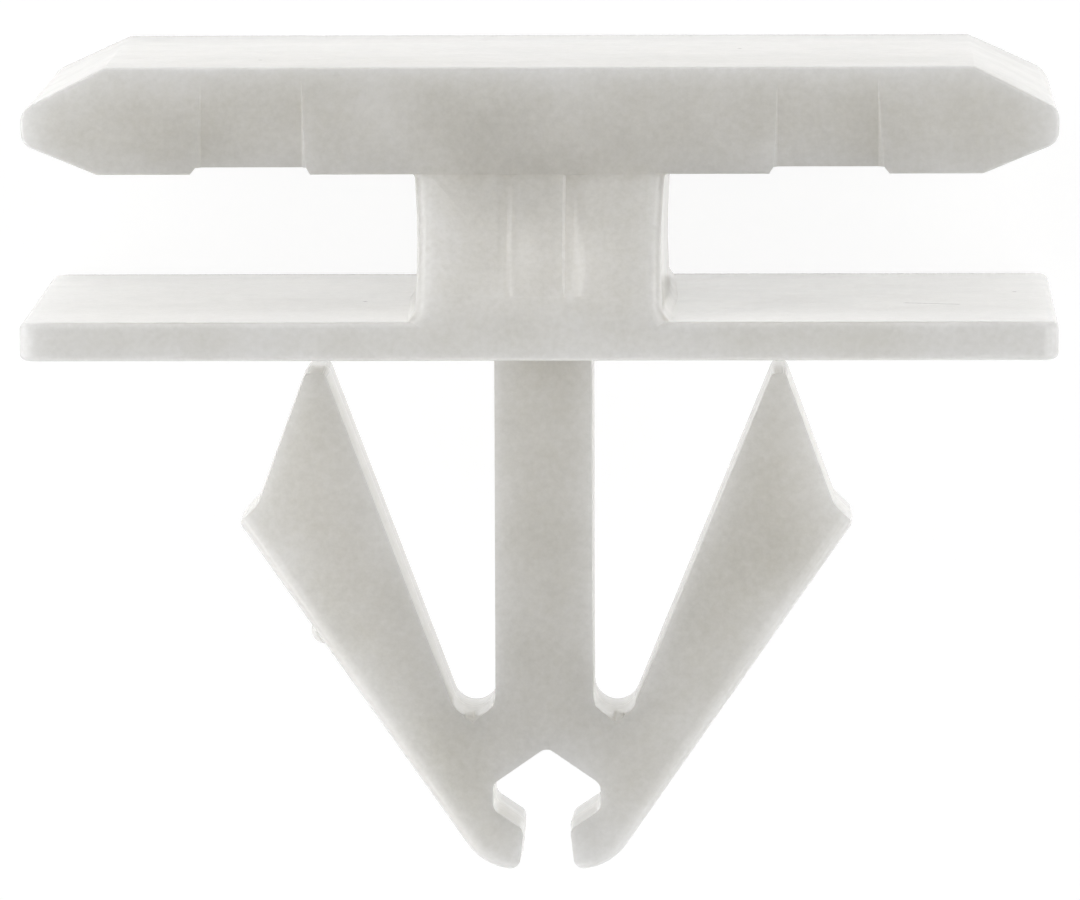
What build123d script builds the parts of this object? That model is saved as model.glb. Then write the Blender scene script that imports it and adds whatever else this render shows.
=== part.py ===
"""Push-in clip for a vehicle's interior moulding: one solid, moulded in natural nylon.

Two plates on a short neck hold the moulding's slotted boss between them. Under the lower plate
(the flange) a stem ends in a split foot, and two barbs spring back up beside it: they snap through
a hole in the body panel and pull the flange down on it.

The clip lies on its back, the way it comes to rest: X is across the plates, Y is the way the stem
points out of the panel, and Z is up, through the depth of the plates. The tool halves meet at the
parting plane, half way through the flange's depth, and the walls draft both ways from there.
Sizes are in millimetres.
"""

import os
from math import atan2, cos, degrees, radians, sin, tan

from build123d import *

# Plates. Heights are measured along Y from the flange's underside, which sits on the panel.
flange_width = 22.0
flange_depth = 12.0
flange_thickness = 0.82
flange_plan_radius = 0.4
flange_edge_radius = 0.16
boss_gap = 3.0               # between the plates, for the wall of the moulding's boss
upper_width = 22.08          # over the noses
upper_depth = 10.2
upper_thickness = 2.28
upper_edge_radius = 0.08
nose_top_chamfer = 1.8       # how far the top face stops short of the nose
nose_top_share = 0.40        # fall of the top bevel at the front, as a share of the thickness
nose_rear_share = 0.36       # the same at the rear, where the bevel is flatter
nose_low_chamfer = 1.62
nose_low_share = 0.29        # rise of the lower bevel, as a share of the thickness
nose_radius = 0.36
nose_rear_radius = 0.62      # the noses are blunter at the rear

# Shallow waists in the upper plate, one each side of the neck.
recess_inner = 4.97          # in the front face, from the middle of the clip to the near wall
recess_width = 2.35
groove_inner = 4.88          # across the underside
groove_width = 2.56
waist_near_slope = 0.09      # half the run of the near wall
waist_far_slope = 0.12
waist_depth = 0.15
waist_top_margin = 0.2       # the front recess fades out this far under the top face

# Neck between the plates.
neck_width = 5.36
neck_belly = 0.06            # each side is hollow by this much at half height
neck_edge_radius = 0.38
neck_rear_inset = 0.3
neck_front_land = 0.28       # height over which the front turns from upright to leaning
neck_foot_radius = 0.3       # where its sides meet the flange
neck_head_radius = 0.1       # where they meet the upper plate
left_flute_reach = 0.70      # from the middle to the middle of the left flute, a plain hollow
left_flute_width = 0.52
left_flute_depth = 0.035
right_flute_reach = 0.50     # from the middle to the steep inner wall of the right flute
right_flute_width = 0.56
right_flute_depth = 0.05
flute_stop = 0.55            # the flutes end this far above the flange

# Stem and barbs, as drawn on the parting plane. Drops are below the flange's underside.
prong_depth = 3.2
stem_width = 2.16
stem_root_flare = 0.1
stem_root_height = 0.28
head_shift = 0.05            # barbs and foot sit this far to the right of the stem's middle
slot_shift = 0.12            # and the barbs' inner walls this far at the tips
panel_gap = 0.65             # from the flange to the barb tips: the panel's thickness
tip_inner = 4.79             # reach of the tip's inner corner from the middle
tip_width = 0.4
tip_radius = 0.18
ramp_reach = 6.23            # the ramp ends here, and the lip begins
ramp_drop = 3.50
lip_radius = 0.35
shoulder_reach = 6.66
shoulder_drop = 3.91
shoulder_radius = 0.17
crotch_radius = 0.46
crotch_drop = 8.08
barb_edge_radius = 0.34
web_rise = 0.2               # at the front a sloping web fills each crotch: its foot on the stem
web_fall = 0.17              # and its lowest point, both measured from the crotch's lowest point

# Split foot with its keyhole.
foot_drop = 11.48
foot_reach = 1.36            # where the barb's lower edge, drawn on, would meet the foot's level
toe_outer_radius = 1.3
toe_inner_radius = 0.3
keyhole_apex_drop = 8.82
keyhole_apex_radius = 0.2
keyhole_half_width = 1.13
keyhole_roof = 0.78          # fall of the sloping roof from the apex to the wall
keyhole_wall = 0.52
keyhole_corner_radius = 0.22
foot_lip_drop = 10.56
foot_lip_radius = 0.24
foot_gap = 0.94              # between the two lips
foot_gap_flare = 0.1         # each side opens by this much towards the bottom

# Vestige of the gate, on the outer edge of the left barb.
gate_drop = 6.45
gate_radius = 0.3
gate_height = 0.15
gate_length = 1.1

# Draft of every wall that runs through the depth.
draft_angle = 1.1

parting_z = flange_depth / 2
prong_half = prong_depth / 2
flange_top = flange_thickness
upper_bottom = flange_top + boss_gap
upper_top = upper_bottom + upper_thickness
middle_y = (upper_top - foot_drop) / 2
tip_outer = tip_inner + tip_width
overlap = 0.2                # how far joined sub-parts run into each other


def both_sides(shape):
    """A shape drawn on the right of the clip, with its mirror image on the left."""
    return shape + mirror(shape, about=Plane.YZ)


def round_corners(sketch, spots, radius):
    """Fillet the corners of a sketch that lie nearest to the given points."""
    chosen = [sketch.vertices().sort_by_distance((x, y, 0))[0] for x, y in spots]
    return fillet(chosen, radius)


def pair(x, y):
    """A point on the right and its mirror image."""
    return [(x, y), (-x, y)]


def flange():
    """Thin plate that sits on the panel, with rounded corners and softened edges."""
    plate = Box(flange_width, flange_thickness, flange_depth)
    plate = fillet(plate.edges().filter_by(Axis.Y), flange_plan_radius)
    plate = fillet(plate.faces().filter_by(Axis.Y).edges(), flange_edge_radius)
    return Pos(0, flange_thickness / 2, flange_depth / 2) * plate


def upper_section(top_share, top_radius):
    """Outline of the upper plate, bevelled to a blunt nose at each end, as seen from the front."""
    nose = upper_width / 2
    high = upper_top - top_share * upper_thickness
    low = upper_bottom + nose_low_share * upper_thickness
    half = Polyline(
        (0, upper_top),
        (nose - nose_top_chamfer, upper_top),
        (nose, high),
        (nose, low),
        (nose - nose_low_chamfer, upper_bottom),
        (0, upper_bottom),
        close=True,
    )
    outline = both_sides(make_face(half))
    outline = round_corners(outline, pair(nose, high), top_radius)
    return round_corners(outline, pair(nose, low), nose_radius)


def upper_plate():
    """Thick plate: its noses run from a blunter outline at the rear to a sharper one in front."""
    rear = upper_section(nose_rear_share, nose_rear_radius)
    front = Pos(0, 0, upper_depth) * upper_section(nose_top_share, nose_radius)
    plate = loft([rear, front], ruled=True)
    return fillet(plate.faces().filter_by(Axis.Z).edges(), upper_edge_radius)


def waist_section(near, width):
    """Trapezoid that lets a shallow waist into a face on its first direction."""
    far = near + width
    outline = Polyline(
        (near - waist_near_slope, -waist_depth),
        (near + waist_near_slope, waist_depth),
        (far - waist_far_slope, waist_depth),
        (far + waist_far_slope, -waist_depth),
        close=True,
    )
    return make_face(outline)


def waist_cutters():
    """A shallow groove across the underside, and a recess in the front that fades out upwards."""
    groove = extrude(waist_section(groove_inner, groove_width), upper_depth + 2 * overlap)
    groove = Pos(0, upper_bottom, -overlap) * groove
    height = upper_thickness - waist_top_margin
    lean = degrees(atan2(waist_depth, height))
    # The front recess is run up the face and tipped until it leaves the face.
    recess = Rot(X=-90) * extrude(waist_section(recess_inner, recess_width), height + 1)
    recess = Pos(0, upper_bottom, upper_depth) * Rot(X=lean) * recess
    return both_sides(groove) + both_sides(recess)


def neck_front(height):
    """Depth of the neck's front face at a height above the flange: upright at its foot, then leaning."""
    ease = height**2 / (height + neck_front_land)
    full = boss_gap**2 / (boss_gap + neck_front_land)
    return flange_depth - (flange_depth - upper_depth) * ease / full


def neck_half_width(height):
    """Half the neck's width: slightly hollow at half height, with a concave root at each plate."""
    hollow = neck_belly * sin(radians(180) * height / boss_gap)
    foot = max(0.0, 1 - height / neck_foot_radius)
    head = max(0.0, 1 - (boss_gap - height) / neck_head_radius)
    root = 0.5 * (neck_foot_radius * foot**2 + neck_head_radius * head**2)
    return neck_width / 2 + neck_belly - hollow + root


def neck_section(height):
    """Level section of the neck, with a ridge on the parting plane and rounded corners."""
    side = neck_half_width(height)
    front = neck_front(height)
    front_side = side - (front - parting_z) * tan(radians(draft_angle))
    rear_side = side - (parting_z - neck_rear_inset) * tan(radians(draft_angle))
    outline = Polyline(
        (rear_side, neck_rear_inset),
        (side, parting_z),
        (front_side, front),
        (-front_side, front),
        (-side, parting_z),
        (-rear_side, neck_rear_inset),
        close=True,
    )
    section = make_face(outline)
    corners = pair(rear_side, neck_rear_inset) + pair(front_side, front)
    section = round_corners(section, corners, neck_edge_radius)
    # Drawn with Z as its second direction, so it is laid across Y.
    return Pos(0, flange_top + height, 0) * Rot(X=90) * section


def neck():
    """Smooth block between the plates, run a little way into each of them."""
    low, high = neck_foot_radius, boss_gap - neck_head_radius
    levels = [low * share for share in (0, 0.2, 0.4, 0.6, 0.8, 1)]
    levels += [low + (high - low) * share for share in (0.04, 0.1, 0.2, 0.35, 0.5, 0.65, 0.8, 1)]
    levels += [(high + boss_gap) / 2, boss_gap]
    block = loft([neck_section(h) for h in levels], ruled=True)
    foot = extrude(neck_section(0), overlap)
    head = extrude(neck_section(boss_gap), -overlap)
    return foot + block + head


def flute_sections():
    """Sections of the two flutes: a plain hollow on the left, a stepped one on the right."""
    middle, half = -left_flute_reach, left_flute_width / 2
    left = Polyline((middle + half, 0), (middle + half, 0.05), (middle - half, 0.05), (middle - half, 0))
    left += ThreePointArc((middle - half, 0), (middle, -left_flute_depth), (middle + half, 0))
    near, far = right_flute_reach, right_flute_reach + right_flute_width
    foot = near + 0.06
    right = Polyline(
        (far, 0), (far, 0.05), (near - 0.02, 0.05), (near - 0.02, 0.01), (foot, -right_flute_depth)
    )
    right += ThreePointArc(
        (foot, -right_flute_depth), ((foot + far) / 2, -0.68 * right_flute_depth), (far, 0)
    )
    return make_face(left) + make_face(right)


def flute_cutters():
    """Two shallow flutes down the leaning front of the neck, which end above the flange."""
    low, high = flute_stop, boss_gap
    near_top = boss_gap / 2
    slope = (neck_front(near_top) - neck_front(high)) / (high - near_top)
    lean = degrees(atan2(slope, 1))
    flutes = extrude(flute_sections(), -(high - low) / cos(radians(lean)))
    # The sections' second direction is turned to the front, their run up the clip and leaned back.
    flutes = Rot(X=-lean) * Rot(X=90) * flutes
    z_stop = neck_front(high) + slope * (high - low)
    return Pos(0, flange_top + low, z_stop) * flutes


def prong_profile():
    """Stem, barbs and split foot on the parting plane."""
    outline = Polyline(
        (0, -panel_gap),
        (tip_outer, -panel_gap),
        (ramp_reach, -ramp_drop),
        (shoulder_reach, -shoulder_drop),
        (foot_reach, -foot_drop),
        (0, -foot_drop),
        close=True,
    )
    head = both_sides(make_face(outline) - toe_trim()) - keyhole()
    head = round_corners(head, pair(ramp_reach, -ramp_drop), lip_radius)
    head = round_corners(head, pair(shoulder_reach, -shoulder_drop), shoulder_radius)
    head = Pos(head_shift, 0, 0) * head
    head -= slot(slot_shift)
    head -= mirror(slot(-slot_shift), about=Plane.YZ)
    tip_corners = [(x + head_shift, y) for x, y in pair(tip_outer, -panel_gap)]
    tip_corners += [(x + slot_shift, y) for x, y in pair(tip_inner, -panel_gap)]
    head = round_corners(head, tip_corners, tip_radius)
    half = stem_width / 2
    stem = Polyline(
        (0, overlap),
        (half + stem_root_flare, overlap),
        (half + stem_root_flare, 0),
        (half, -stem_root_height),
        (half, -crotch_drop),
        (0, -crotch_drop),
        close=True,
    )
    return head + both_sides(make_face(stem))


def toe_arcs():
    """The toe's two arcs on the right: where each begins and ends, and a point half way round it.

    The small arc is tangent to the wall of the gap and to the foot's level. The large one is
    tangent to the barb's lower edge, and the small arc lies inside it and touches it.
    """
    dx, dy = shoulder_reach - foot_reach, foot_drop - shoulder_drop
    length = (dx * dx + dy * dy) ** 0.5
    along = (dx / length, dy / length)
    inward = (-dy / length, dx / length)
    small = (gap_half(foot_drop - toe_inner_radius) + toe_inner_radius, -foot_drop + toe_inner_radius)
    from_corner = (small[0] - foot_reach, small[1] + foot_drop)
    across = from_corner[0] * inward[0] + from_corner[1] * inward[1]
    run = from_corner[0] * along[0] + from_corner[1] * along[1]
    apart = toe_outer_radius - toe_inner_radius
    run += (apart**2 - (toe_outer_radius - across) ** 2) ** 0.5
    edge_touch = (foot_reach + run * along[0], -foot_drop + run * along[1])
    large = (
        edge_touch[0] + toe_outer_radius * inward[0],
        edge_touch[1] + toe_outer_radius * inward[1],
    )
    down = atan2(small[1] - large[1], small[0] - large[0])
    touch = (
        large[0] + toe_outer_radius * cos(down),
        large[1] + toe_outer_radius * sin(down),
    )
    start = atan2(edge_touch[1] - large[1], edge_touch[0] - large[0])
    half_way = (start + down) / 2
    large_middle = (
        large[0] + toe_outer_radius * cos(half_way),
        large[1] + toe_outer_radius * sin(half_way),
    )
    turned = (down - radians(180)) / 2
    small_middle = (
        small[0] + toe_inner_radius * cos(turned),
        small[1] + toe_inner_radius * sin(turned),
    )
    wall_touch = (small[0] - toe_inner_radius, small[1])
    return edge_touch, large_middle, touch, small_middle, wall_touch


def toe_trim():
    """What the toe's two arcs take off the foot's corner on the right."""
    edge_touch, large_middle, touch, small_middle, wall_touch = toe_arcs()
    low = -foot_drop - 1
    far = edge_touch[0] + 1
    outline = Polyline(
        wall_touch, (0, wall_touch[1]), (0, low), (far, low), (far, edge_touch[1]), edge_touch
    )
    outline += ThreePointArc(edge_touch, large_middle, touch)
    outline += ThreePointArc(touch, small_middle, wall_touch)
    return make_face(outline)


def gap_half(drop):
    """Half the gap between the toes at a drop: it opens steadily from the lips down."""
    share = (drop - foot_lip_drop) / (foot_drop - foot_lip_drop)
    return foot_gap / 2 + foot_gap_flare * share


def slot(shift):
    """Opening between stem and barb on the right: a round crotch, tangent to the stem and the barb.

    The barb is moved outwards by the shift, and the stem stays.
    """
    tip = tip_inner + shift
    x = stem_width / 2 + crotch_radius
    y = -crotch_drop + crotch_radius
    dx, dy = tip - x, -panel_gap - y
    reach = (dx * dx + dy * dy) ** 0.5
    # Angle from X of the normal at the tangent point on the barb's side.
    normal = atan2(dy, dx) - (radians(90) - atan2(crotch_radius, (reach**2 - crotch_radius**2) ** 0.5))
    touch = (x + crotch_radius * cos(normal), y + crotch_radius * sin(normal))
    stem_touch = (x - crotch_radius, y)
    over = 1.0
    slant = (tip - touch[0]) / (-panel_gap - touch[1])
    outline = Polyline(
        stem_touch,
        (x - crotch_radius, over),
        (tip + slant * (over + panel_gap), over),
        touch,
    )
    outline += ThreePointArc(touch, (x, y - crotch_radius), stem_touch)
    return make_face(outline)


def keyhole():
    """House-shaped eye above the foot, with the gap that splits the foot below it."""
    eave = keyhole_apex_drop + keyhole_roof
    sill = eave + keyhole_wall
    low = foot_drop + overlap
    hole = Polyline(
        (0, -keyhole_apex_drop),
        (keyhole_half_width, -eave),
        (keyhole_half_width, -sill),
        (gap_half(foot_lip_drop), -foot_lip_drop),
        (gap_half(low), -low),
        (0, -low),
        close=True,
    )
    hole = both_sides(make_face(hole))
    corners = pair(keyhole_half_width, -eave) + pair(keyhole_half_width, -sill)
    hole = round_corners(hole, corners, keyhole_corner_radius)
    hole = round_corners(hole, [(0, -keyhole_apex_drop)], keyhole_apex_radius)
    return round_corners(hole, pair(gap_half(foot_lip_drop), -foot_lip_drop), foot_lip_radius)


def prong():
    """The profile moulded both ways from the parting plane, with its long edges rounded."""
    front = extrude(prong_profile(), prong_half)
    walls = [f for f in front.faces() if abs(f.normal_at().Z) < 0.5]
    front = draft(walls, Plane.XY, draft_angle)
    body = front + mirror(front, about=Plane.XY)
    body -= Pos(head_shift, 0, 0) * both_sides(barb_edge_cutters())
    body -= both_sides(crotch_web_cutter())
    return Pos(0, 0, parting_z) * body


def barb_edge_cutters():
    """Quarter-round cutters along the right barb's lower outer edge and toe, front and rear."""
    edge_touch, large_middle, touch, _, _ = toe_arcs()
    dx, dy = shoulder_reach - foot_reach, foot_drop - shoulder_drop
    length = (dx * dx + dy * dy) ** 0.5
    r = barb_edge_radius
    inset = tan(radians(draft_angle)) * (prong_half - r)
    corner = Polyline((0, -r), (0.5, -r), (0.5, 0.5), (-r, 0.5), (-r, 0))
    corner += ThreePointArc((-r, 0), (-r + r * sin(radians(45)), -r + r * cos(radians(45))), (0, -r))
    # The section lies across the edge at the shoulder: its first direction points out of the
    # barb, its second to the front. It runs down the edge and round the toe, then leaves it.
    start = (shoulder_reach + overlap * dx / length, -shoulder_drop + overlap * dy / length)
    across = Plane(origin=(*start, 0), x_dir=(dy, -dx, 0), z_dir=(dx, dy, 0))
    section = across * (Pos(-inset, prong_half, 0) * make_face(corner))
    path = Line(start, edge_touch) + ThreePointArc(edge_touch, large_middle, touch)
    leave = path % 1
    path += Line(touch, (touch[0] + leave.X, touch[1] + leave.Y))
    front = sweep(section, path=path)
    return front + mirror(front, about=Plane.XY)


def crotch_web_cutter():
    """Deepens the right crotch towards the front, down to a sloping web at the stem's side.

    At the front face its outline is a V, and it draws in until it clears the crotch at the
    parting plane.
    """
    half = stem_width / 2
    middle = half + crotch_radius
    lean = (tip_inner - middle) / (crotch_drop - panel_gap)
    top = -crotch_drop + crotch_radius
    low = -crotch_drop

    def outline(foot, point, raised):
        barb_side = middle + crotch_radius - raised
        corners = Polyline(
            (half + raised, top),
            (half + raised, low + foot),
            (middle, low + point),
            (middle + 0.36 * crotch_radius, low + point + 0.22 * crotch_radius),
            (barb_side - 0.25 * crotch_radius, low + 0.6 * crotch_radius),
            (barb_side + lean * 0.1, top),
            close=True,
        )
        return make_face(corners)

    front = Pos(0, 0, prong_half + 0.05) * outline(web_rise, -web_fall, 0.01)
    rear = outline(web_rise + 0.2, 0.1, 0.1)
    return loft([rear, front], ruled=True)


def gate_vestige():
    """Low rounded lump where the gate was broken off the left barb."""
    dx, dy = shoulder_reach - foot_reach, foot_drop - shoulder_drop
    share = (foot_drop - gate_drop) / dy
    length = (dx * dx + dy * dy) ** 0.5
    out_x, out_y = dy / length, -dx / length
    sink = gate_radius - gate_height
    x = foot_reach + share * dx - sink * out_x
    y = -foot_drop + share * dy - sink * out_y
    lump = Cylinder(gate_radius, gate_length)
    lump = fillet(lump.edges(), gate_radius * 0.6)
    return Pos(-x, y, parting_z) * lump


def molding_clip():
    """The whole clip, with its origin under the middle of the box that holds it."""
    plate = upper_plate() - waist_cutters()
    body = flange() + plate + neck() + prong() + gate_vestige()
    body -= flute_cutters()
    return Pos(0, -middle_y, 0) * body


clip = molding_clip()
os.makedirs("parts", exist_ok=True)
export_step(clip, "parts/molding_clip.step")
print("solids", len(clip.solids()), "volume", round(clip.volume, 2), clip.bounding_box())
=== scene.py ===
"""Looks of a push-in clip for interior trim, moulded in one piece in natural nylon.

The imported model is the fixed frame. A finer copy of its one solid, with every sharp edge
broken the way moulded edges are, stands for it. The clip lies on its back on a white floor,
and the camera looks down on it.
"""

from math import cos, pi, radians, sin

import bpy
import bmesh
from mathutils import Matrix, Vector


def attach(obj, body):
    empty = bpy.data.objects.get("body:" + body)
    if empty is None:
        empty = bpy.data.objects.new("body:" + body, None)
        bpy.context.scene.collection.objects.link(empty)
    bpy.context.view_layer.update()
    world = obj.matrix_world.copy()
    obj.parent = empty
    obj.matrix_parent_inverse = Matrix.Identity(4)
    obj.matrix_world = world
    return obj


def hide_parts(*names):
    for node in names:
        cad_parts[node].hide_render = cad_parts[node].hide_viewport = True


MM = 0.001

# The view: a long lens, a little above the clip's front and a touch to its right.
IMAGE_WIDTH = 1080
SENSOR_WIDTH = 36.0
FOCAL_PIXELS = 11971.9
CAMERA_YAW = -0.0223
CAMERA_PITCH = 0.1024
CAMERA_ROLL = 0.0036
CAMERA_DISTANCE = 259.19
AIM = (-0.104, 0.193, 6.0)      # mm

EDGE_BREAK = 0.05               # mm, width of the broken edges
MID_DEPTH = 6.0                 # mm, half way through the clip's depth

# Natural nylon. Sizes in mm.
NYLON_PALE = "#f5f3ef"
NYLON_DEEP = "#e2e0da"
MARK_GREY = "#77746d"
NYLON_IOR = 1.53
NYLON_ROUGHNESS, ROUGHNESS_SWING = 0.18, 0.03
NYLON_SCATTER = 2.0             # the shader's scale: a ray runs about a twelfth of it between turns
SCATTER_BY_COLOUR = (1.0, 1.0, 0.97)
GRAIN_PITCH = 0.13              # drawn about twice as coarse as the real spark grain, to show at all
GRAIN_HEIGHT = 0.003
GRAIN_IN_COLOUR = 0.55          # the grain's share beside the clouds
CLOUD_PITCH = 2.6
PARTING_WIDTH, PARTING_HEIGHT = 0.03, 0.006
PRONG_TOP = 2.6                 # the parting line shows below the flange only
SINK_CENTRE, SINK_REACH, SINK_DEPTH = (0.23, 8.79, 5.4), (1.15, 0.3, 1.9), 0.03
SPECKS = (                      # place and radius of the few dark specks
    ((-6.03, 8.79, 7.79), 0.06), ((4.23, 8.79, 4.49), 0.06), ((9.79, 8.35, 6.04), 0.06),
    ((-3.84, 3.51, 6.90), 0.07), ((10.18, 3.51, 4.81), 0.07),
)
SCRATCH_START, SCRATCH_END, SCRATCH_WIDTH = (7.80, 3.51, 7.44), (8.92, 3.51, 7.79), 0.07
SCRATCH_STRENGTH = 1.6          # above 1, so that the grain breaks it only in places

# The light: for each box, the side it stands on, and its strength at some heights (a direction's z).
# The brightest parts are high at the sides, for the front faces, and low down, for the side faces.
BRIGHTEST = 5.0
SOFTBOXES = (
    ((-1.0, 0.0, 0.0), (
        (0.17, 4.3), (0.25, 1.4), (0.47, 1.4), (0.55, 1.8), (0.70, 2.4), (0.84, 3.9), (0.92, 0.0),
    )),
    ((1.0, 0.0, 0.0), (
        (0.17, 3.2), (0.25, 0.6), (0.46, 0.6), (0.54, 2.2), (0.70, 3.0), (0.84, 4.9), (0.92, 0.0),
    )),
    ((0.0, -1.0, 0.0), ((0.17, 1.9), (0.26, 0.3), (0.60, 0.0))),
    ((0.0, 1.0, 0.0), ((0.15, 0.12), (0.25, 0.0))),
)
# Two small boxes behind the clip's top edge, where its leaning neck and its top faces mirror them.
FAR_BOXES = (
    ("far_left_box", (-0.27, 0.91, 0.31), 2.0),
    ("far_right_box", (0.27, 0.91, 0.31), 1.0),
)
FAR_BOX_DISTANCE, FAR_BOX_WIDTH, FAR_BOX_HEIGHT = 250.0, 108.0, 100.0     # mm

# The board under the clip: its true white, and what shows of it to the camera and to gloss.
BOARD_WHITE = "#f0f0f0"
BOARD_GLOW, MIRRORED_GLOW, BOARD_GLEAM = 0.9, 1.0, 0.2
BOARD_HALF_WIDTH, BOARD_DROP = 1000.0, 0.01     # mm


def linear(hex_colour):
    """sRGB hex to linear: each channel over 12.92 below 0.04045, else ((c + 0.055) / 1.055) ** 2.4."""
    channels = [int(hex_colour[i:i + 2], 16) / 255 for i in (1, 3, 5)]
    curve = [c / 12.92 if c <= 0.04045 else ((c + 0.055) / 1.055) ** 2.4 for c in channels]
    return (*curve, 1.0)


def add_node(tree, kind, settings=None, links=None):
    """Add one node. A key is an attribute, or an input's name or number; links join inputs to outputs."""
    node = tree.nodes.new(kind)
    for name, value in (settings or {}).items():
        if isinstance(name, int) or name in node.inputs:
            node.inputs[name].default_value = value
        else:
            setattr(node, name, value)
    for name, source in (links or {}).items():
        tree.links.new(source, node.inputs[name])
    return node


def new_material(name):
    """An empty node material with its output node."""
    material = bpy.data.materials.new(name)
    material.use_nodes = True
    tree = material.node_tree
    tree.nodes.clear()
    output = add_node(tree, "ShaderNodeOutputMaterial")
    return material, tree, output


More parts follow.
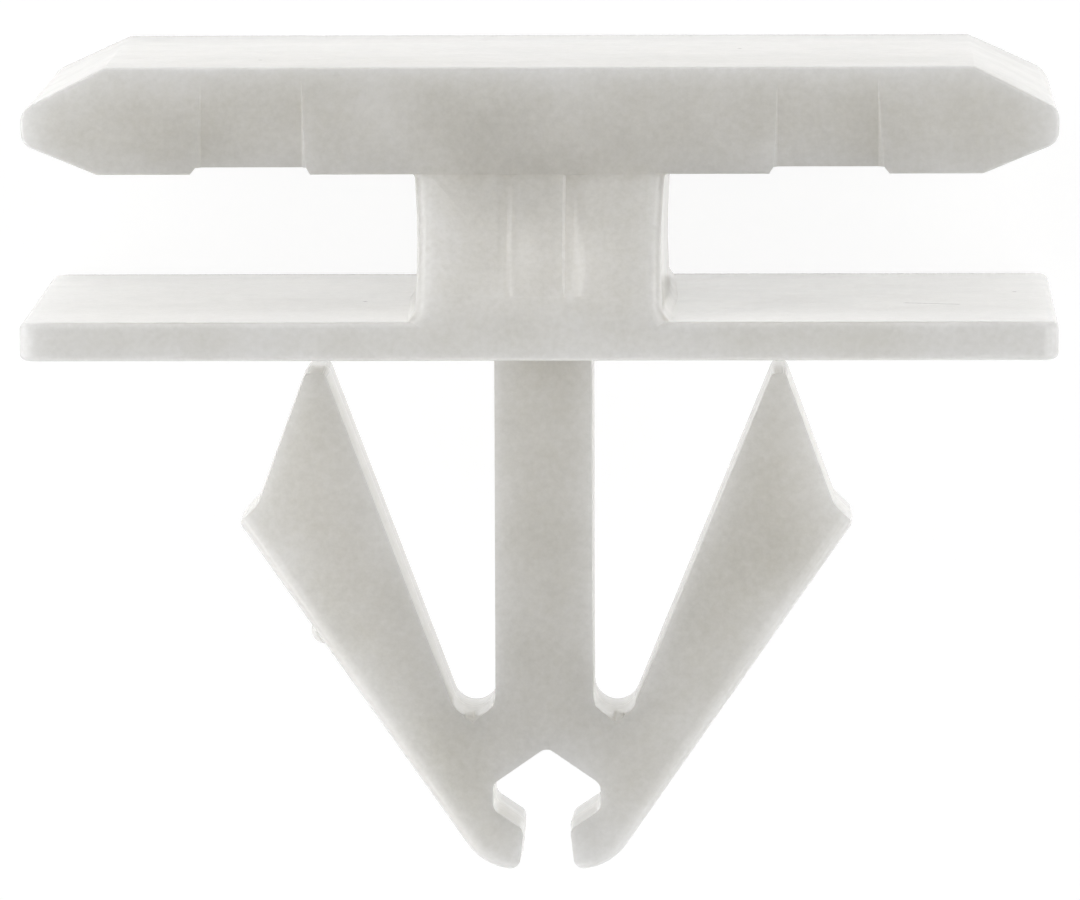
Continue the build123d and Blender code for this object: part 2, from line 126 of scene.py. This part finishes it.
def moulded_nylon():
    """Natural nylon 6/6, injection moulded and left as it came from the mould.

    To the eye it is a milky, slightly warm white. Light runs a few tenths of a millimetre into
    it, so thin barbs and the neck glow where the thick plates stay grey, and faces seen at a
    glancing angle turn nearly white with gloss. The mould's fine spark grain breaks the gloss up.

    Height, in millimetres: grain, plus a ridge exp(-((z - 6) / w) ** 2) where the mould halves met,
    less a bowl exp(-(dx / a) ** 2 - (dz / b) ** 2) over the neck, where the thick section shrank.
    """
    material, tree, output = new_material("natural_nylon_moulded")
    place = add_node(tree, "ShaderNodeTexCoord").outputs["Object"]
    in_mm = add_node(
        tree, "ShaderNodeVectorMath", {"operation": "SCALE", "Scale": 1 / MM}, {0: place}).outputs[0]
    axes = add_node(tree, "ShaderNodeSeparateXYZ", None, {0: in_mm}).outputs

    grain = add_node(
        tree, "ShaderNodeTexNoise", {"Scale": 1 / GRAIN_PITCH, "Detail": 2.0, "Roughness": 0.6},
        {"Vector": in_mm},
    ).outputs["Fac"]
    cloud = add_node(
        tree, "ShaderNodeTexNoise", {"Scale": 1 / CLOUD_PITCH, "Detail": 3.0, "Roughness": 0.5},
        {"Vector": in_mm},
    ).outputs["Fac"]

    # Heights: the grain, the parting line on the prong, the sink mark over the neck.
    grain_height = add_node(
        tree, "ShaderNodeMath", {"operation": "MULTIPLY", 1: GRAIN_HEIGHT}, {0: grain}).outputs[0]
    line_offset = add_node(
        tree, "ShaderNodeMath", {"operation": "SUBTRACT", 1: MID_DEPTH}, {0: axes["Z"]}).outputs[0]
    line_share = add_node(
        tree, "ShaderNodeMath", {"operation": "DIVIDE", 1: PARTING_WIDTH}, {0: line_offset}).outputs[0]
    on_prong = add_node(
        tree, "ShaderNodeMath", {"operation": "LESS_THAN", 1: PRONG_TOP}, {0: axes["Y"]}).outputs[0]
    line_square = add_node(
        tree, "ShaderNodeMath", {"operation": "MULTIPLY"}, {0: line_share, 1: line_share}).outputs[0]
    line_fall = add_node(
        tree, "ShaderNodeMath", {"operation": "MULTIPLY", 1: -1.0}, {0: line_square}).outputs[0]
    ridge = add_node(tree, "ShaderNodeMath", {"operation": "EXPONENT"}, {0: line_fall}).outputs[0]
    ridge_height = add_node(
        tree, "ShaderNodeMath", {"operation": "MULTIPLY", 1: PARTING_HEIGHT}, {0: ridge}).outputs[0]
    from_sink = add_node(
        tree, "ShaderNodeVectorMath", {"operation": "SUBTRACT", 1: SINK_CENTRE}, {0: in_mm}).outputs[0]
    in_sink = add_node(
        tree, "ShaderNodeVectorMath", {"operation": "DIVIDE", 1: SINK_REACH}, {0: from_sink}).outputs[0]
    sink_square = add_node(
        tree, "ShaderNodeVectorMath", {"operation": "DOT_PRODUCT"}, {0: in_sink, 1: in_sink}).outputs["Value"]
    sink_fall = add_node(
        tree, "ShaderNodeMath", {"operation": "MULTIPLY", 1: -1.0}, {0: sink_square}).outputs[0]
    bowl = add_node(tree, "ShaderNodeMath", {"operation": "EXPONENT"}, {0: sink_fall}).outputs[0]
    sink_height = add_node(
        tree, "ShaderNodeMath", {"operation": "MULTIPLY", 1: -SINK_DEPTH}, {0: bowl}).outputs[0]
    height = add_node(
        tree, "ShaderNodeMath", {"operation": "MULTIPLY_ADD"}, {0: on_prong, 1: ridge_height, 2: grain_height}
    ).outputs[0]
    height = add_node(tree, "ShaderNodeMath", {"operation": "ADD"}, {0: height, 1: sink_height}).outputs[0]
    normal = add_node(
        tree, "ShaderNodeBump", {"Strength": 1.0, "Distance": MM}, {"Height": height}).outputs["Normal"]

    # Colour: faint clouds of flow in the melt and a touch of the grain, then the few dark marks.
    blend = add_node(
        tree, "ShaderNodeMath", {"operation": "MULTIPLY_ADD", 1: GRAIN_IN_COLOUR}, {0: grain, 2: cloud}
    ).outputs[0]
    spread = add_node(
        tree, "ShaderNodeMapRange", {"From Min": 0.5, "From Max": 1.05}, {"Value": blend}).outputs["Result"]
    body = add_node(
        tree, "ShaderNodeMix", {"data_type": "RGBA", 6: linear(NYLON_DEEP), 7: linear(NYLON_PALE)},
        {0: spread},
    ).outputs[2]
    mark = None
    for spot, radius in SPECKS:
        away = add_node(
            tree, "ShaderNodeVectorMath", {"operation": "DISTANCE", 1: spot}, {0: in_mm}).outputs["Value"]
        speck = add_node(
            tree, "ShaderNodeMapRange", {"From Min": radius, "From Max": 0.4 * radius}, {"Value": away}
        ).outputs["Result"]
        mark = speck if mark is None else add_node(
            tree, "ShaderNodeMath", {"operation": "MAXIMUM"}, {0: mark, 1: speck}).outputs[0]
    from_scratch = add_node(
        tree, "ShaderNodeVectorMath", {"operation": "SUBTRACT", 1: SCRATCH_START}, {0: in_mm}).outputs[0]
    run = Vector(SCRATCH_END) - Vector(SCRATCH_START)
    along = add_node(
        tree, "ShaderNodeVectorMath", {"operation": "DOT_PRODUCT", 1: tuple(run.normalized())},
        {0: from_scratch},
    ).outputs["Value"]
    nearest = add_node(
        tree, "ShaderNodeClamp", {"Min": 0.0, "Max": run.length}, {"Value": along}).outputs[0]
    foot = add_node(
        tree, "ShaderNodeVectorMath", {"operation": "SCALE", 0: tuple(run.normalized())}, {"Scale": nearest}
    ).outputs[0]
    off = add_node(
        tree, "ShaderNodeVectorMath", {"operation": "DISTANCE"}, {0: from_scratch, 1: foot}).outputs["Value"]
    rub = add_node(
        tree, "ShaderNodeMapRange",
        {"From Min": SCRATCH_WIDTH, "From Max": 0.3 * SCRATCH_WIDTH, "To Max": SCRATCH_STRENGTH},
        {"Value": off},
    ).outputs["Result"]
    broken = add_node(tree, "ShaderNodeMath", {"operation": "MULTIPLY"}, {0: rub, 1: grain}).outputs[0]
    mark = add_node(tree, "ShaderNodeMath", {"operation": "MAXIMUM"}, {0: mark, 1: broken}).outputs[0]
    colour = add_node(
        tree, "ShaderNodeMix", {"data_type": "RGBA", 7: linear(MARK_GREY)}, {0: mark, 6: body}).outputs[2]

    low, high = NYLON_ROUGHNESS - ROUGHNESS_SWING, NYLON_ROUGHNESS + ROUGHNESS_SWING
    rough = add_node(
        tree, "ShaderNodeMapRange", {"From Min": 0.3, "From Max": 0.7, "To Min": low, "To Max": high},
        {"Value": cloud},
    ).outputs["Result"]
    shader = add_node(tree, "ShaderNodeBsdfPrincipled", {
        "IOR": NYLON_IOR,
        "Subsurface Weight": 1.0,
        "Subsurface Radius": SCATTER_BY_COLOUR,
        "Subsurface Scale": NYLON_SCATTER * MM,
    }, {"Base Color": colour, "Roughness": rough, "Normal": normal})
    tree.links.new(shader.outputs["BSDF"], output.inputs["Surface"])
    return material


def white_floor():
    """Matt white board. The camera, gloss and glass see it glow white, less the clip's shadow.

    The glow is fuller towards gloss, so that faces at a glancing angle mirror a clean white.
    """
    material, tree, output = new_material("white_board")
    board = add_node(tree, "ShaderNodeBsdfDiffuse", {"Color": linear(BOARD_WHITE)})
    ray = add_node(tree, "ShaderNodeLightPath").outputs
    strength = add_node(
        tree, "ShaderNodeMath",
        {"operation": "MULTIPLY_ADD", 1: MIRRORED_GLOW - BOARD_GLOW, 2: BOARD_GLOW},
        {0: ray["Is Glossy Ray"]},
    ).outputs[0]
    glow = add_node(tree, "ShaderNodeEmission", None, {"Strength": strength}).outputs[0]
    gleam = (BOARD_GLEAM, BOARD_GLEAM, BOARD_GLEAM, 1.0)
    faint = add_node(tree, "ShaderNodeBsdfDiffuse", {"Color": gleam}).outputs[0]
    seen = add_node(tree, "ShaderNodeAddShader", None, {0: glow, 1: faint}).outputs[0]
    most = add_node(
        tree, "ShaderNodeMath", {"operation": "MAXIMUM"}, {0: ray["Is Camera Ray"], 1: ray["Is Glossy Ray"]}
    ).outputs[0]
    any_seen = add_node(
        tree, "ShaderNodeMath", {"operation": "MAXIMUM"}, {0: most, 1: ray["Is Transmission Ray"]}).outputs[0]
    mix = add_node(
        tree, "ShaderNodeMixShader", None, {0: any_seen, 1: board.outputs[0], 2: seen}).outputs[0]
    tree.links.new(mix, output.inputs["Surface"])
    return material


def finished_clip(node):
    """The clip's solid with its loose triangles merged and its sharp edges broken."""
    mesh = node.data.copy()
    mesh.name = "clip_moulding"
    shape = bmesh.new()
    shape.from_mesh(mesh)
    bmesh.ops.remove_doubles(shape, verts=shape.verts, dist=1e-7)
    bmesh.ops.dissolve_limit(
        shape, angle_limit=radians(0.5), verts=shape.verts, edges=shape.edges, delimit=set()
    )
    shape.to_mesh(mesh)
    shape.free()
    clip = bpy.data.objects.new("clip_moulding", mesh)
    bpy.context.scene.collection.objects.link(clip)
    for face in mesh.polygons:
        face.use_smooth = True
    bevel = clip.modifiers.new("broken_edges", "BEVEL")
    bevel.width = EDGE_BREAK * MM
    bevel.segments = 3
    bevel.limit_method = "ANGLE"
    bevel.angle_limit = radians(30)
    bevel.harden_normals = True
    bevel.use_clamp_overlap = True
    return clip


def far_box(name, towards, radiance):
    """A softbox that faces the clip from the given direction. Its power is radiance x pi x area."""
    light = bpy.data.lights.new(name, "AREA")
    light.shape = "RECTANGLE"
    light.size, light.size_y = FAR_BOX_WIDTH * MM, FAR_BOX_HEIGHT * MM
    light.energy = radiance * pi * light.size * light.size_y
    holder = bpy.data.objects.new(name, light)
    bpy.context.scene.collection.objects.link(holder)
    away = Vector(towards).normalized()
    holder.location = away * FAR_BOX_DISTANCE * MM + Vector((0, 0, MID_DEPTH)) * MM
    holder.rotation_euler = away.to_track_quat("Z", "Y").to_euler()
    holder.visible_camera = False


def camera():
    """The camera looks down on the clip's front with a long lens."""
    lens = FOCAL_PIXELS / IMAGE_WIDTH * SENSOR_WIDTH
    data = bpy.data.cameras.new("camera")
    data.sensor_width = SENSOR_WIDTH
    data.lens = lens
    data.clip_start, data.clip_end = 0.01, 10.0
    holder = bpy.data.objects.new("camera", data)
    bpy.context.scene.collection.objects.link(holder)
    ahead = Vector((
        sin(CAMERA_YAW) * cos(CAMERA_PITCH), -sin(CAMERA_PITCH), -cos(CAMERA_YAW) * cos(CAMERA_PITCH)
    ))
    right = Vector((cos(CAMERA_YAW), 0, sin(CAMERA_YAW)))
    up = right.cross(ahead)
    turned_right = cos(CAMERA_ROLL) * right - sin(CAMERA_ROLL) * up
    turned_up = sin(CAMERA_ROLL) * right + cos(CAMERA_ROLL) * up
    place = (Vector(AIM) - CAMERA_DISTANCE * ahead) * MM
    axes = Matrix((turned_right, turned_up, -ahead)).transposed()
    holder.matrix_world = Matrix.Translation(place) @ axes.to_4x4()
    bpy.context.scene.camera = holder


def floor():
    """A white board a hair's breadth under the clip."""
    half, top = BOARD_HALF_WIDTH * MM, -BOARD_DROP * MM
    corners = [(-half, -half, top), (half, -half, top), (half, half, top), (-half, half, top)]
    mesh = bpy.data.meshes.new("floor")
    mesh.from_pydata(corners, [], [(0, 1, 2, 3)])
    board = bpy.data.objects.new("floor", mesh)
    bpy.context.scene.collection.objects.link(board)
    mesh.materials.append(white_floor())


def studio():
    """Soft light from long low boxes round the clip, white where the camera sees it.

    Strength towards a direction d is the sum over the boxes of level(d.z) times max(d . side, 0) ** 2,
    so each box is brightest straight out to its side and fades to nothing a quarter turn away.
    """
    made = bpy.data.worlds.new("studio")
    bpy.context.scene.world = made
    made.use_nodes = True
    tree = made.node_tree
    tree.nodes.clear()
    output = add_node(tree, "ShaderNodeOutputWorld")
    towards = add_node(tree, "ShaderNodeTexCoord").outputs["Generated"]
    height = add_node(tree, "ShaderNodeSeparateXYZ", None, {0: towards}).outputs["Z"]
    total = None
    for side, levels in SOFTBOXES:
        facing = add_node(
            tree, "ShaderNodeVectorMath", {"operation": "DOT_PRODUCT", 1: side}, {0: towards}
        ).outputs["Value"]
        front = add_node(tree, "ShaderNodeMath", {"operation": "MAXIMUM", 1: 0.0}, {0: facing}).outputs[0]
        share = add_node(tree, "ShaderNodeMath", {"operation": "MULTIPLY"}, {0: front, 1: front}).outputs[0]
        ramp = add_node(tree, "ShaderNodeValToRGB", None, {"Fac": height})
        ramp.color_ramp.interpolation = "EASE"
        while len(ramp.color_ramp.elements) < len(levels):
            ramp.color_ramp.elements.new(1.0)
        for stop, (where, level) in zip(ramp.color_ramp.elements, levels):
            stop.position = where
            stop.color = (level / BRIGHTEST, level / BRIGHTEST, level / BRIGHTEST, 1.0)
        part = add_node(
            tree, "ShaderNodeMath", {"operation": "MULTIPLY"}, {0: share, 1: ramp.outputs["Color"]}
        ).outputs[0]
        total = part if total is None else add_node(
            tree, "ShaderNodeMath", {"operation": "ADD"}, {0: total, 1: part}).outputs[0]
    strength = add_node(
        tree, "ShaderNodeMath", {"operation": "MULTIPLY", 1: BRIGHTEST}, {0: total}).outputs[0]
    room = add_node(tree, "ShaderNodeBackground", {"Color": (1, 1, 1, 1)}, {"Strength": strength})
    white = add_node(tree, "ShaderNodeBackground", {"Color": (1, 1, 1, 1), "Strength": 1.0})
    path = add_node(tree, "ShaderNodeLightPath")
    mix = add_node(
        tree, "ShaderNodeMixShader", None,
        {0: path.outputs["Is Camera Ray"], 1: room.outputs[0], 2: white.outputs[0]},
    )
    tree.links.new(mix.outputs[0], output.inputs["Surface"])


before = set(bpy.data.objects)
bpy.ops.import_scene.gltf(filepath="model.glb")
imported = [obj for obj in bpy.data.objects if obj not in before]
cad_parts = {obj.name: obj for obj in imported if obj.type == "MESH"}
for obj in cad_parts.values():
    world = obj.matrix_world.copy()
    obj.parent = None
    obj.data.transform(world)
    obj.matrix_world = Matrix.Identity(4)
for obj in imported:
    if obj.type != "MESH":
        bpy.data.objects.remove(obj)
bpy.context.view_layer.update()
bpy.context.scene.view_settings.view_transform = "Standard"

nylon = moulded_nylon()
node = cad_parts["molding_clip"]
clip = finished_clip(node)
clip.data.materials.clear()
clip.data.materials.append(nylon)
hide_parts("molding_clip")
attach(clip, "root")

floor()
studio()
for name, towards, radiance in FAR_BOXES:
    far_box(name, towards, radiance)
camera()
